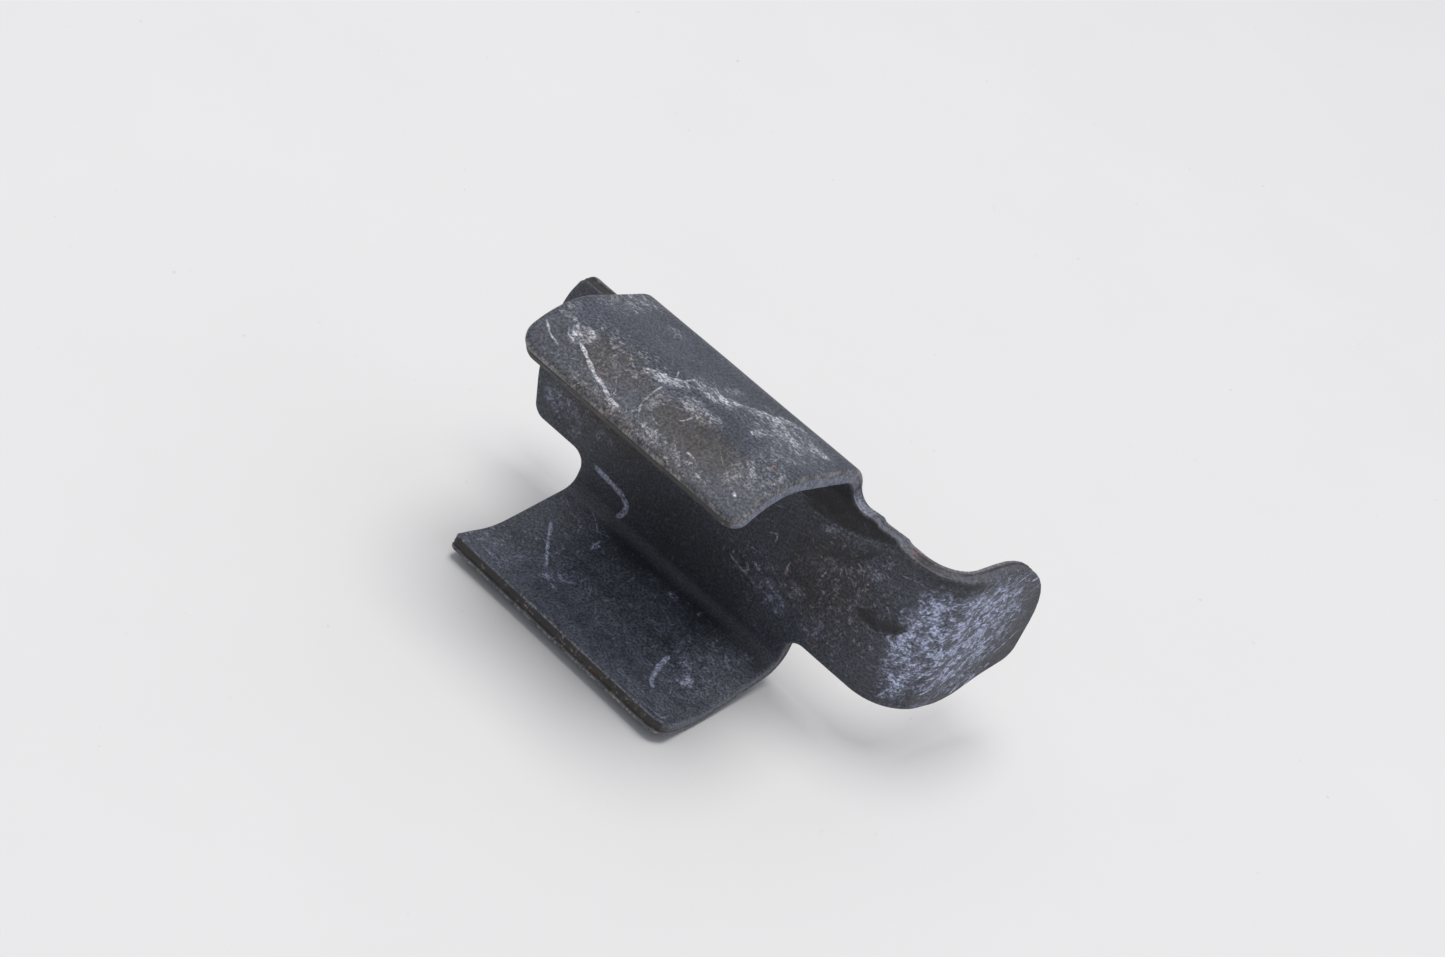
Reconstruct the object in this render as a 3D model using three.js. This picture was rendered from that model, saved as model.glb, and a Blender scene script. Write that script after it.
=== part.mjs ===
import * as THREE from 'three';

// One-piece spring steel clip, in millimetres. The origin is the centre of the web's
// back face: +X runs along the clip towards the long tab, +Y points out of the back,
// and +Z points from the lower jaw to the upper one.

// Sheet
const sheet = 1.0;
const midPlane = -sheet / 2;
const flexGap = 0.3;

// Web, and the flat strip that carries the ear and the tab
const webHalfWidth = 8.5;
const stripTop = 5.0;
const stripBottom = -5.0;
const notchFillet = 1.0;

// Upper jaw: bend, flat roof, drooping front
const upperFlexHeight = 4.35;
const upperJawWidth = 16.5;
const upperJawShift = -0.15;
const upperBend = { start: 4.66, radius: 3.04, angle: 74.3 };
const upperRoof = 4.78;
const upperDroop = { radius: 5.95, angle: 46.3 };
const upperLip = 1.0;
const upperCorner = 1.0;

// Lower jaw: bend, flat floor, upturned front
const lowerFlexHeight = -6.35;
const lowerJawWidth = 17.0;
const lowerBend = { start: -6.51, radius: 1.37, angle: 81 };
const lowerFloor = 4.46;
const lowerScoop = { radius: 7.0, angle: 22 };
const lowerLip = 2.4;
const lowerCorner = 1.3;

// Left ear: flat, with a long sweep at its lower corner
const earEnd = 13.95;
const earLowerCorner = { run: 1.75, rise: 3.6 };
const earUpperCorner = { run: 1.2, rise: 1.9 };

// Right tab: flat root, backward bend, flat pad
const tabRoot = 13.03;
const tabBend = { radius: 2.84, angle: 82.5 };
const tabPad = 7.15;
const tabUpperCorner = { run: 5.6, rise: 5.6 };
const tabLowerCorner = { run: 4.7, rise: 2.6 };

// Facets
const facetAngle = 7;
const facetLength = 0.7;
const cornerSteps = 7;

const steel = { color: 0x46484d, roughness: 0.62, metalness: 0.55 };
const radians = THREE.MathUtils.degToRad;

// A straight run of the sheet's middle line, and a turn of it (left is positive).
const straight = (length) => ({ length, turn: 0 });
const arc = ({ radius, angle }, side) => ({
  length: radius * radians(angle),
  turn: side / radius,
});

// The middle line's point and heading at a distance from its start.
function walk(trace, distance) {
  const point = trace.start.clone();
  let heading = trace.heading;
  let left = distance;
  for (const { length, turn } of trace.legs) {
    const step = Math.min(left, length);
    const swing = turn * step;
    const chord = turn ? (2 * Math.sin(swing / 2)) / turn : step;
    const aim = heading + swing / 2;
    point.add(new THREE.Vector2(Math.cos(aim), Math.sin(aim)).multiplyScalar(chord));
    heading += swing;
    left -= step;
  }
  return { point, heading };
}

const traceLength = (trace) => trace.legs.reduce((sum, leg) => sum + leg.length, 0);

// Distances at which the sheet gets a cross-section: even steps along each leg, and
// closer ones over the listed corners, each given as [from, to].
function stations(trace, corners) {
  const marks = [0];
  let reached = 0;
  for (const { length, turn } of trace.legs) {
    const bent = turn ? (length * Math.abs(turn)) / radians(facetAngle) : 0;
    const count = Math.ceil(Math.max(bent, length / facetLength, 1));
    for (let i = 1; i <= count; i++) marks.push(reached + (length * i) / count);
    reached += length;
  }
  for (const [from, to] of corners) {
    for (let i = 0; i <= cornerSteps; i++) {
      const share = Math.sin(((i / cornerSteps) * Math.PI) / 2);
      marks.push(from + (to - from) * share);
    }
  }
  marks.sort((a, b) => a - b);
  return marks.filter((mark, i) => i === 0 || mark - marks[i - 1] > 0.02);
}

// How far a rounded corner has cut in at a distance from the edge that it meets.
function cornerCut(distance, { run, rise }) {
  const share = THREE.MathUtils.clamp(1 - distance / run, 0, 1);
  return rise * (1 - Math.sqrt(1 - share * share));
}

// A closed solid of bent sheet. The trace is the middle line, low and high give the
// sheet's two side edges at a distance along it, and place turns a point of the trace's
// plane and a position across the sheet into space.
function bentSheet({ trace, corners, low, high, place }) {
  const marks = stations(trace, corners);
  const positions = [];
  for (const mark of marks) {
    const { point, heading } = walk(trace, mark);
    const normal = new THREE.Vector2(-Math.sin(heading), Math.cos(heading));
    const faceA = point.clone().addScaledVector(normal, sheet / 2);
    const faceB = point.clone().addScaledVector(normal, -sheet / 2);
    positions.push(...place(faceA, low(mark)), ...place(faceA, high(mark)));
    positions.push(...place(faceB, high(mark)), ...place(faceB, low(mark)));
  }
  const indices = [];
  const quad = (a, b, c, d) => indices.push(a, b, c, a, c, d);
  for (let i = 0; i + 1 < marks.length; i++) {
    for (let side = 0; side < 4; side++) {
      const next = (side + 1) % 4;
      quad(4 * i + side, 4 * i + next, 4 * i + 4 + next, 4 * i + 4 + side);
    }
  }
  const last = 4 * (marks.length - 1);
  quad(3, 2, 1, 0);
  quad(last, last + 1, last + 2, last + 3);
  return outward(positions, indices);
}

// The triangles as a geometry, turned inside out if they enclose a negative volume.
function outward(positions, indices) {
  const corner = (index) => new THREE.Vector3().fromArray(positions, 3 * index);
  let volume = 0;
  for (let i = 0; i < indices.length; i += 3) {
    const [a, b, c] = [0, 1, 2].map((k) => corner(indices[i + k]));
    volume += a.dot(b.cross(c));
  }
  if (volume < 0) indices.reverse();
  const geometry = new THREE.BufferGeometry();
  geometry.setAttribute('position', new THREE.Float32BufferAttribute(positions, 3));
  geometry.setIndex(indices);
  geometry.computeVertexNormals();
  return geometry;
}

// Traces of the jaws lie in the Y-Z plane and those of the strip in the X-Y plane.
const acrossX = (point, across) => [across, point.x, point.y];
const acrossZ = (point, across) => [point.x, point.y, across];
const acrossZMirrored = (point, across) => [-point.x, point.y, across];

function jaw({ flexHeight, bend, width, shift, legs, corner, side }) {
  const root = flexHeight + (side * flexGap) / 2;
  const trace = {
    start: new THREE.Vector2(midPlane, root),
    heading: (side * Math.PI) / 2,
    legs: [straight(Math.abs(bend.start - root)), arc(bend, side), ...legs],
  };
  const end = traceLength(trace);
  const round = { run: corner, rise: corner };
  const halfWidth = (mark) => width / 2 - cornerCut(end - mark, round);
  return bentSheet({
    trace,
    corners: [[end - corner, end]],
    low: (mark) => shift - halfWidth(mark),
    high: (mark) => shift + halfWidth(mark),
    place: acrossX,
  });
}

function upperJaw() {
  return jaw({
    flexHeight: upperFlexHeight,
    bend: upperBend,
    width: upperJawWidth,
    shift: upperJawShift,
    legs: [straight(upperRoof), arc(upperDroop, 1), straight(upperLip)],
    corner: upperCorner,
    side: 1,
  });
}

function lowerJaw() {
  return jaw({
    flexHeight: lowerFlexHeight,
    bend: lowerBend,
    width: lowerJawWidth,
    shift: 0,
    legs: [straight(lowerFloor), arc(lowerScoop, -1), straight(lowerLip)],
    corner: lowerCorner,
    side: -1,
  });
}

function web() {
  return bentSheet({
    trace: {
      start: new THREE.Vector2(-webHalfWidth, midPlane),
      heading: 0,
      legs: [straight(2 * webHalfWidth)],
    },
    corners: [],
    low: () => lowerFlexHeight + flexGap / 2,
    high: () => upperFlexHeight - flexGap / 2,
    place: acrossZ,
  });
}

// The strip beside the web: a fillet runs its lower edge into the web's side, and its
// far corners are rounded.
function stripEnd({ legs, lowerCorner: low, upperCorner: high, place }) {
  const trace = { start: new THREE.Vector2(webHalfWidth, midPlane), heading: 0, legs };
  const end = traceLength(trace);
  const fillet = { run: notchFillet, rise: notchFillet };
  return bentSheet({
    trace,
    corners: [
      [notchFillet, 0],
      [end - low.run, end],
      [end - high.run, end],
    ],
    low: (mark) => stripBottom + cornerCut(end - mark, low) - cornerCut(mark, fillet),
    high: (mark) => stripTop - cornerCut(end - mark, high),
    place,
  });
}

function leftEar() {
  return stripEnd({
    legs: [straight(earEnd - webHalfWidth)],
    lowerCorner: earLowerCorner,
    upperCorner: earUpperCorner,
    place: acrossZMirrored,
  });
}

function rightTab() {
  return stripEnd({
    legs: [straight(tabRoot - webHalfWidth), arc(tabBend, 1), straight(tabPad)],
    lowerCorner: tabLowerCorner,
    upperCorner: tabUpperCorner,
    place: acrossZ,
  });
}

function piece(name, geometry, tone) {
  const material = new THREE.MeshStandardMaterial(steel);
  material.color.multiplyScalar(tone);
  const mesh = new THREE.Mesh(geometry, material);
  mesh.name = name;
  return mesh;
}

const clip = new THREE.Group();
clip.add(
  piece('web', web(), 0.8),
  piece('left_ear', leftEar(), 0.8),
  piece('right_tab', rightTab(), 1.2),
  piece('upper_jaw', upperJaw(), 1.3),
  piece('lower_jaw', lowerJaw(), 1.0),
);

export default clip;
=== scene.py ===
import math
import random
import bmesh
import bpy
from mathutils import Matrix, Vector, noise
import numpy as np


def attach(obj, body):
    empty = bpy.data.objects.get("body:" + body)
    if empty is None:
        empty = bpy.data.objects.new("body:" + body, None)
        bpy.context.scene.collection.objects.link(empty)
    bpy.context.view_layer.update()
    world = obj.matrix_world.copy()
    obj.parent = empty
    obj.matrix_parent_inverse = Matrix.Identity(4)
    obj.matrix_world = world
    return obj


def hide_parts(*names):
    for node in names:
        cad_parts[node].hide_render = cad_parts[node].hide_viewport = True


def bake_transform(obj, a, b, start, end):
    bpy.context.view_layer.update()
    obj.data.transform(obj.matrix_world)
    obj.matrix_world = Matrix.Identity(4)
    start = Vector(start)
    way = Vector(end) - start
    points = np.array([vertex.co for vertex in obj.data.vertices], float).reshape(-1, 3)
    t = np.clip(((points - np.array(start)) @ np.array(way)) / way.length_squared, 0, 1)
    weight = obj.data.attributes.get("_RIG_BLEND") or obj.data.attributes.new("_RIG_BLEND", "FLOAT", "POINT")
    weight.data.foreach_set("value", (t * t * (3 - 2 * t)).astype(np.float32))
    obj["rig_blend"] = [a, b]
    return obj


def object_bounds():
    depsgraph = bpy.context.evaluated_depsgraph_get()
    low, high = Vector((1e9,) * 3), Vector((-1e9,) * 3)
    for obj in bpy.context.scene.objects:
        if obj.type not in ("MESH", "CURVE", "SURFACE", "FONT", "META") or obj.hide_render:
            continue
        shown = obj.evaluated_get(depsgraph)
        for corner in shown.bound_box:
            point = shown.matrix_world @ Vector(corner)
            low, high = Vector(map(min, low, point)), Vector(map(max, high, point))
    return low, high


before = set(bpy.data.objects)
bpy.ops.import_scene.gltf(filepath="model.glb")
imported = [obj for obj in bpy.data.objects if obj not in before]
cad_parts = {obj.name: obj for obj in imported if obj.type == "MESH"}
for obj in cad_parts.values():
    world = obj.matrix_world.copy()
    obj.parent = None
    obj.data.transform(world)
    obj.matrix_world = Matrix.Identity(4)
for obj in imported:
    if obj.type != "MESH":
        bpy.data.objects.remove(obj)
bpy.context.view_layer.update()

mm = 0.001
# smaller than any real distance on the sheet, in mm
tiny = 1e-4
# the flat place of each corner is kept in a UV map, at this much per mm
uvPerMm = 0.01

# the sheet as it is cut, laid flat: x along the clip, z up the web, all in mm
blank = {
    "thickness": 1.0,
    "midPlane": -0.5,
    "stripTop": 5.0,
    "stripBottom": -5.0,
    "earEnd": -13.95,
    "tabEnd": 24.27,
    "upperLeft": -8.4,
    "upperRight": 8.1,
    "upperEnd": 19.19,
    "lowerHalf": 8.5,
    "lowerEnd": -18.0,
    "notchFillet": 1.0,
    "cornerSteps": 10,
    "gridStep": 0.25,
    # a grid line nearer than this share of a step to a bend line or a seam is left out
    "lineGap": 0.35,
    "planeReach": 1e-5,
}

# each bend is a run of flat sheet that gets rolled through an angle, in degrees
bends = {
    "upperDroop": {"axis": "X", "from": 13.38, "length": 4.81, "angle": 46.3, "side": 1, "lines": 20},
    "upperRoot": {"axis": "X", "from": 4.66, "length": 3.94, "angle": 74.3, "side": 1, "lines": 24},
    "lowerScoop": {"axis": "X", "from": 12.91, "length": 2.69, "angle": -22.0, "side": -1, "lines": 10},
    "lowerRoot": {"axis": "X", "from": 6.51, "length": 1.94, "angle": -81.0, "side": -1, "lines": 20},
    "tabRoot": {"axis": "Z", "from": 13.03, "length": 4.09, "angle": 82.5, "side": 1, "lines": 26},
}

# the sheared edge in section: rings run in from it, each side rolls over, and the wall between is torn metal
edgeShape = {
    "rings": [0.03, 0.04, 0.06, 0.08, 0.12],
    "backRadius": 0.26,
    "frontRadius": 0.1,
    "wallRows": 4,
    "tearLine": 0.2,
    "tearDepth": 0.06,
    "tearReach": 0.05,
    "tearTaper": 0.04,
    "wallNoise": 0.03,
    "coarse": {"scale": 1.7, "across": 3},
    "fine": {"scale": 4.5, "across": 7, "share": 0.6, "shift": 9},
    "sharpAngle": 36,
}

# what handling did to the sheet: a slow wave, tool crescents by the tab, and a groove behind the lower lip
wear = {
    "waveHeight": 0.035,
    "waveLength": 7.0,
    "crescents": [
        {"centre": (6.5, 11.6), "radius": 8.3, "aim": -68, "spread": 38, "fade": 1.7, "depth": 0.17},
        {"centre": (7.0, 5.5), "radius": 4.43, "aim": -50, "spread": 30, "fade": 0.35, "depth": 0.06},
        {"centre": (12.2, 1.9), "radius": 2.5, "aim": -72, "spread": 50, "fade": 0.42, "depth": 0.16},
    ],
    "crescentLip": 0.16,
    "crescentTail": 0.55,
    "crescentsAbove": -2,
    # a crescent this deep is painted fully dark, as painted shade in the dent; shallower ones less
    "fullShadeDepth": 0.05,
    "grooveAt": -17.2,
    "grooveWidth": 0.45,
    "grooveDepth": 0.045,
}


def outlineCorners():
    b = blank
    fillet = b["notchFillet"]
    top, bottom, half = b["stripTop"], b["stripBottom"], b["lowerHalf"]
    # each corner is (x, z, rounding)
    return [
        (b["earEnd"] + 0.75, top + 0.1, 0.5),
        (b["upperLeft"], top, fillet),
        (b["upperLeft"], b["upperEnd"], 1.3),
        (b["upperRight"], b["upperEnd"], 0.9),
        (b["upperRight"], top, fillet),
        # two small steps where the press bit twice
        (10.0, top + 0.2, 0.12),
        (10.25, top + 0.04, 0.12),
        (11.9, top + 0.14, 0.12),
        (12.15, top, 0.12),
        (b["tabEnd"], top, 5.6),
        (b["tabEnd"], -3.35, 0.8),
        (21.8, -4.15, 0.5),
        (19.3, bottom - 0.45, 1.2),
        (16.5, bottom, 1.0),
        (half, bottom, fillet),
        (half, b["lowerEnd"], 1.2),
        (-half - 0.35, b["lowerEnd"] + 0.2, 0.4),
        (-half, bottom, fillet),
        (b["earEnd"] + 1.05, bottom, 0.7),
        (b["earEnd"], -1.7, 1.2),
        (b["earEnd"], 3.0, 1.0),
    ]


def cutBlank():
    bm = bmesh.new()
    corners = outlineCorners()
    verts = [bm.verts.new((x, blank["midPlane"], z)) for x, z, rounding in corners]
    bm.faces.new(verts)
    for vert, (x, z, rounding) in zip(verts, corners):
        bmesh.ops.bevel(bm, geom=[vert], offset=rounding, offset_type="OFFSET",
                        segments=blank["cornerSteps"], profile=0.5, affect="VERTICES",
                        material=-1, clamp_overlap=False)
    if bm.faces[:][0].normal.y < 0:
        bmesh.ops.reverse_faces(bm, faces=bm.faces[:])
    return bm


def ringEdges(bm):
    # the distance from the sheared edge is kept on each vertex
    fromEdge = bm.verts.layers.float.new("fromEdge")
    reached = 0.0
    core = bm.faces[:][0]
    for width in edgeShape["rings"]:
        bmesh.ops.inset_region(bm, faces=[core], thickness=width, use_boundary=True, use_even_offset=True)
        reached += width
        for vert in core.verts:
            vert[fromEdge] = reached


def cutLine(bm, axis, at):
    normal = Vector((1, 0, 0)) if axis == "x" else Vector((0, 0, 1))
    bmesh.ops.bisect_plane(bm, geom=bm.verts[:] + bm.edges[:] + bm.faces[:],
                           dist=blank["planeReach"], plane_co=normal * at, plane_no=normal)


def bendLines(bend):
    step = bend["length"] / bend["lines"]
    return [bend["side"] * (bend["from"] + (i + 0.5) * step) for i in range(bend["lines"])]


def cutAllLines(bm, seams):
    # every line the sheet needs: an even grid, the bends' own lines, and the seams between pieces
    wanted = {"x": [], "z": []}
    for bend in bends.values():
        wanted["z" if bend["axis"] == "X" else "x"] += bendLines(bend)
    for axis, at in seams:
        wanted[axis].append(at)
    step = blank["gridStep"]
    spans = {"x": (blank["earEnd"], blank["tabEnd"]), "z": (blank["lowerEnd"], blank["upperEnd"])}
    for axis, (low, high) in spans.items():
        for i in range(1, int((high - low) / step) + 1):
            at = low + i * step
            if all(abs(at - other) > step * blank["lineGap"] for other in wanted[axis]):
                wanted[axis].append(at)
        for at in sorted(wanted[axis]):
            cutLine(bm, axis, at)


def fold(bm, bend, flat):
    # like a brake: the sheet beyond each line turns about it, the furthest line first
    turn = Matrix.Rotation(math.radians(bend["angle"]) / bend["lines"], 3, bend["axis"])
    side = bend["side"]
    which = 2 if bend["axis"] == "X" else 0
    for at in reversed(bendLines(bend)):
        line = (0, blank["midPlane"], at) if which == 2 else (at, blank["midPlane"], 0)
        beyond = [v for v in bm.verts if side * (v[flat][which] - at) > tiny]
        bmesh.ops.rotate(bm, verts=beyond, cent=line, matrix=turn)


def smoothStep(low, high, value):
    t = min(1.0, max(0.0, (value - low) / (high - low)))
    return t * t * (3 - 2 * t)


def rollover(distance, radius):
    inside = max(0.0, radius - distance)
    return radius - math.sqrt(radius * radius - inside * inside)


def crescentDepth(x, z, crescent):
    # deepest just inside the arc, fading away behind it and towards its two ends
    cx, cz = crescent["centre"]
    beyond = math.hypot(x - cx, z - cz) - crescent["radius"]
    lip = wear["crescentLip"]
    aside = (math.degrees(math.atan2(z - cz, x - cx)) - crescent["aim"] + 180) % 360 - 180
    ends = 1 - smoothStep(wear["crescentTail"], 1.0, abs(aside) / crescent["spread"])
    rise = 1 - smoothStep(-lip, lip, beyond)
    return crescent["depth"] * rise * ends * math.exp(min(0.0, beyond) / crescent["fade"])


def pressedIn(point):
    # how far the tool crescents go into the front skin; there are none low on the sheet
    if point[2] < wear["crescentsAbove"]:
        return 0.0
    return sum(crescentDepth(point[0], point[2], crescent) for crescent in wear["crescents"])


def grooveDepth(z):
    across = (z - wear["grooveAt"]) / wear["grooveWidth"]
    return wear["grooveDepth"] * math.exp(-across * across)


def onFront(vert, across):
    # across runs from 0 on the back skin to 1 on the front skin
    return vert[across] > 0.5


def thicken(bm, fromEdge, flat):
    # the mid sheet becomes the back skin and a copy of it the front skin, with walls between
    bm.normal_update()
    bm.verts.index_update()
    normals = [v.normal.copy() for v in bm.verts]
    across = bm.verts.layers.float.new("across")
    source = bm.verts.layers.int.new("source")
    for v in bm.verts:
        v[source] = v.index
    made = bmesh.ops.extrude_face_region(bm, geom=bm.faces[:], use_keep_orig=True)
    for item in made["geom"]:
        if isinstance(item, bmesh.types.BMVert):
            item[across] = 1.0
    half = blank["thickness"] / 2
    for v in bm.verts:
        normal = normals[v[source]]
        wave = wear["waveHeight"] * noise.noise(Vector(v[flat]) / wear["waveLength"])
        if onFront(v, across):
            inward = rollover(v[fromEdge], edgeShape["frontRadius"])
            inward = inward + pressedIn(v[flat]) + grooveDepth(v[flat][2])
            v.co += normal * (wave - half + inward)
        else:
            v.co += normal * (wave + half - rollover(v[fromEdge], edgeShape["backRadius"]))
    bmesh.ops.recalc_face_normals(bm, faces=bm.faces[:])
    return across


# how near to 0 or 1 a vertex's across still counts as being on a skin
sideGap = 0.01


def tearWalls(bm, across, fromEdge, flat):
    # rows across the sheared wall, then a tear line, a taper and roughness; the seam faces stay flat
    coarse, fine = edgeShape["coarse"], edgeShape["fine"]
    crossing = [e for e in bm.edges if abs(e.verts[0][across] - e.verts[1][across]) > 0.5]
    bmesh.ops.subdivide_edges(bm, edges=crossing, cuts=edgeShape["wallRows"], use_grid_fill=True)
    bm.normal_update()
    tear, depth = edgeShape["tearLine"], edgeShape["tearDepth"]
    for v in bm.verts:
        if v[fromEdge] > tiny or v[across] < sideGap or v[across] > 1 - sideGap:
            continue
        if any(other[fromEdge] > tiny for edge in v.link_edges for other in edge.verts):
            continue
        place = Vector(v[flat])
        rough = noise.noise(place * coarse["scale"] + Vector((0, v[across] * coarse["across"], 0)))
        shift = Vector((0, v[across] * fine["across"], fine["shift"]))
        rough += fine["share"] * noise.noise(place * fine["scale"] + shift)
        line = depth if abs(v[across] - tear) < edgeShape["tearReach"] else 0.0
        taper = edgeShape["tearTaper"] * max(0.0, v[across] - tear)
        v.co += v.normal * (edgeShape["wallNoise"] * rough - line - taper)


# areas are at full strength out to this share of their size, then fade to nothing
areaCore = 0.3


def areaStrength(place, spots):
    # the strongest of some soft areas, each (x, z, half length, half width, turn in degrees, strength)
    strongest = 0.0
    for x, z, long, short, turn, strength in spots:
        offset = Vector((place[0] - x, place[2] - z))
        offset.rotate(Matrix.Rotation(-math.radians(turn), 2))
        reach = math.hypot(offset.x / long, offset.y / short)
        strongest = max(strongest, strength * (1 - smoothStep(areaCore, 1.0, reach)))
    return strongest


def shadeAreas(bm, across, flat):
    # the broad brown, pale, dark and grainy areas of each skin are kept on the vertices for its material; the
    # pale areas are partly painted light and the dark areas partly painted shade
    kinds = ("brownAreas", "paleAndLitAreas", "darkAndShadedAreas", "grainAreas")
    layers = {key: bm.verts.layers.float.new(key) for key in kinds}
    for v in bm.verts:
        finish = frontFinish if onFront(v, across) else backFinish
        for key, layer in layers.items():
            v[layer] = areaStrength(v[flat], finish[key])
        # the tool crescents are painted dark as shade in the dents, the deeper the darker
        if onFront(v, across):
            pressed = min(1.0, pressedIn(v[flat]) / wear["fullShadeDepth"])
            v[layers["darkAndShadedAreas"]] = max(v[layers["darkAndShadedAreas"]], pressed)


def paintFaces(bm, across, flat):
    # material 0 is the back skin, 1 the front skin and 2 the sheared walls
    uv = bm.loops.layers.uv.new("developed")
    for face in bm.faces:
        sides = [v[across] for v in face.verts]
        if max(sides) - min(sides) > sideGap:
            face.material_index = 2
        else:
            face.material_index = 1 if max(sides) > 0.5 else 0
        face.smooth = True
        for loop in face.loops:
            loop[uv].uv = (loop.vert[flat][0] * uvPerMm, loop.vert[flat][2] * uvPerMm)
    for edge in bm.edges:
        edge.smooth = edge.calc_face_angle(0) < math.radians(edgeShape["sharpAngle"])


def layOutSheet():
    # the whole sheet, flat, with every line cut and its flat place kept on each vertex
    bm = cutBlank()
    ringEdges(bm)
    cutAllLines(bm, seamLines)
    flat = bm.verts.layers.float_vector.new("flat")
    for v in bm.verts:
        v[flat] = v.co
    return bm


def makePiece(name, wholeSheet, keep, materials):
    bm = wholeSheet.copy()
    flat = bm.verts.layers.float_vector["flat"]
    fromEdge = bm.verts.layers.float["fromEdge"]
    gone = [f for f in bm.faces if not keep(f.calc_center_median())]
    bmesh.ops.delete(bm, geom=gone, context="FACES")
    for bend in bends.values():
        fold(bm, bend, flat)
    across = thicken(bm, fromEdge, flat)
    tearWalls(bm, across, fromEdge, flat)
    bmesh.ops.scale(bm, vec=(mm, mm, mm), verts=bm.verts[:])
    shadeAreas(bm, across, flat)
    paintFaces(bm, across, flat)
    mesh = bpy.data.meshes.new(name)
    bm.to_mesh(mesh)
    bm.free()
    piece = bpy.data.objects.new(name, mesh)
    bpy.context.collection.objects.link(piece)
    for material in materials:
        mesh.materials.append(material)
    print(name, "has", len(mesh.polygons), "faces")
    return piece


# the pressing is one sheet; its seams run through flat metal, just short of the bends
seams = {"upper": 4.2, "upperFoot": 9.8, "lower": -6.2}
seamLines = [
    ("z", seams["upper"]),
    ("z", seams["lower"]),
    ("x", seams["upperFoot"]),
    ("x", -seams["upperFoot"]),
]


def inUpperJaw(p):
    return p.z > seams["upper"] and abs(p.x) < seams["upperFoot"]


def inLowerJaw(p):
    return p.z < seams["lower"]


def inBody(p):
    return not inUpperJaw(p) and not inLowerJaw(p)


# small helpers that put shader nodes together
def addNode(tree, kind, **choices):
    made = tree.nodes.new("ShaderNode" + kind)
    for choice, value in choices.items():
        setattr(made, choice, value)
    return made


def feed(tree, socket, value):
    if isinstance(value, bpy.types.NodeSocket):
        tree.links.new(value, socket)
    else:
        socket.default_value = value


def calc(tree, operation, first, second=0.0, clamp=False):
    made = addNode(tree, "Math", operation=operation, use_clamp=clamp)
    feed(tree, made.inputs[0], first)
    feed(tree, made.inputs[1], second)
    return made.outputs[0]


def calcVector(tree, operation, first, second):
    made = addNode(tree, "VectorMath", operation=operation)
    feed(tree, made.inputs[0], first)
    feed(tree, made.inputs[1], second)
    return made.outputs[0]


def measure(tree, offset, direction):
    made = addNode(tree, "VectorMath", operation="DOT_PRODUCT")
    feed(tree, made.inputs[0], offset)
    feed(tree, made.inputs[1], direction)
    return made.outputs[1]


def spread(tree, value, low, high, toLow=0.0, toHigh=1.0):
    made = addNode(tree, "MapRange", interpolation_type="SMOOTHSTEP", clamp=False)
    for socket, given in zip(made.inputs, (value, low, high, toLow, toHigh)):
        feed(tree, socket, given)
    return made.outputs[0]


def grain(tree, where, scale, detail=4.0, roughness=0.55, distortion=0.0):
    made = addNode(tree, "TexNoise", noise_dimensions="3D")
    feed(tree, made.inputs["Vector"], where)
    made.inputs["Scale"].default_value = scale
    made.inputs["Detail"].default_value = detail
    made.inputs["Roughness"].default_value = roughness
    made.inputs["Distortion"].default_value = distortion
    return made


def mixColour(tree, factor, first, second):
    made = addNode(tree, "Mix", data_type="RGBA")
    feed(tree, made.inputs[0], factor)
    feed(tree, made.inputs[6], first)
    feed(tree, made.inputs[7], second)
    return made.outputs[2]


def sheetPlace(tree):
    # the place on the flat sheet, in mm, from the unwrapped coordinates
    uv = addNode(tree, "UVMap", uv_map="developed")
    return calcVector(tree, "MULTIPLY", uv.outputs[0], (1 / uvPerMm, 1 / uvPerMm, 0))


def solidPlace(tree):
    # the place in the body itself, in mm
    body = addNode(tree, "TexCoord")
    return calcVector(tree, "MULTIPLY", body.outputs["Object"], (1 / mm, 1 / mm, 1 / mm))


# how marks stray from where they are put: (noise scale, distance in mm)
wanders = {"loose": (0.9, 0.9), "close": (2.4, 0.22), "wall": (0.9, 0.7)}


def wander(tree, where, scale, amount):
    # pushes a place about, so that marks get ragged outlines
    shift = calcVector(tree, "SUBTRACT", grain(tree, where, scale, 5, 0.6).outputs[1], (0.5, 0.5, 0.5))
    shift = calcVector(tree, "MULTIPLY", shift, (amount, amount, 0))
    return calcVector(tree, "ADD", where, shift)


def stretched(tree, where, turn, along):
    # coordinates drawn out along one direction, for brushed strokes
    made = addNode(tree, "Mapping", vector_type="TEXTURE")
    feed(tree, made.inputs["Vector"], where)
    made.inputs["Rotation"].default_value = (0, 0, math.radians(turn))
    made.inputs["Scale"].default_value = (along, 1, 1)
    return made.outputs[0]


def marks(tree, where, spots, core=0.3):
    # each spot is (x, z, half length, half width, turn in degrees, strength)
    # dot products measure how far off it is, lengthwise and crosswise
    total = None
    for x, z, long, short, turn, strength in spots:
        lengthwise = Vector((math.cos(math.radians(turn)), math.sin(math.radians(turn)), 0))
        crosswise = Vector((-lengthwise.y, lengthwise.x, 0))
        offset = calcVector(tree, "SUBTRACT", where, (x, z, 0))
        along = measure(tree, offset, lengthwise / long)
        aside = measure(tree, offset, crosswise / short)
        # made before the node that uses it, as the renderer holds on to values that come late
        squared = calc(tree, "MULTIPLY", along, along)
        reach = addNode(tree, "Math", operation="MULTIPLY_ADD")
        feed(tree, reach.inputs[0], aside)
        feed(tree, reach.inputs[1], aside)
        feed(tree, reach.inputs[2], squared)
        spot = spread(tree, reach.outputs[0], 1.0, core * core, 0.0, strength)
        total = spot if total is None else calc(tree, "MAXIMUM", total, spot)
    return total


# the stretches of a stroke overlap, so each one is a little over half its own length either way
stretchShare = 0.62


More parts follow.
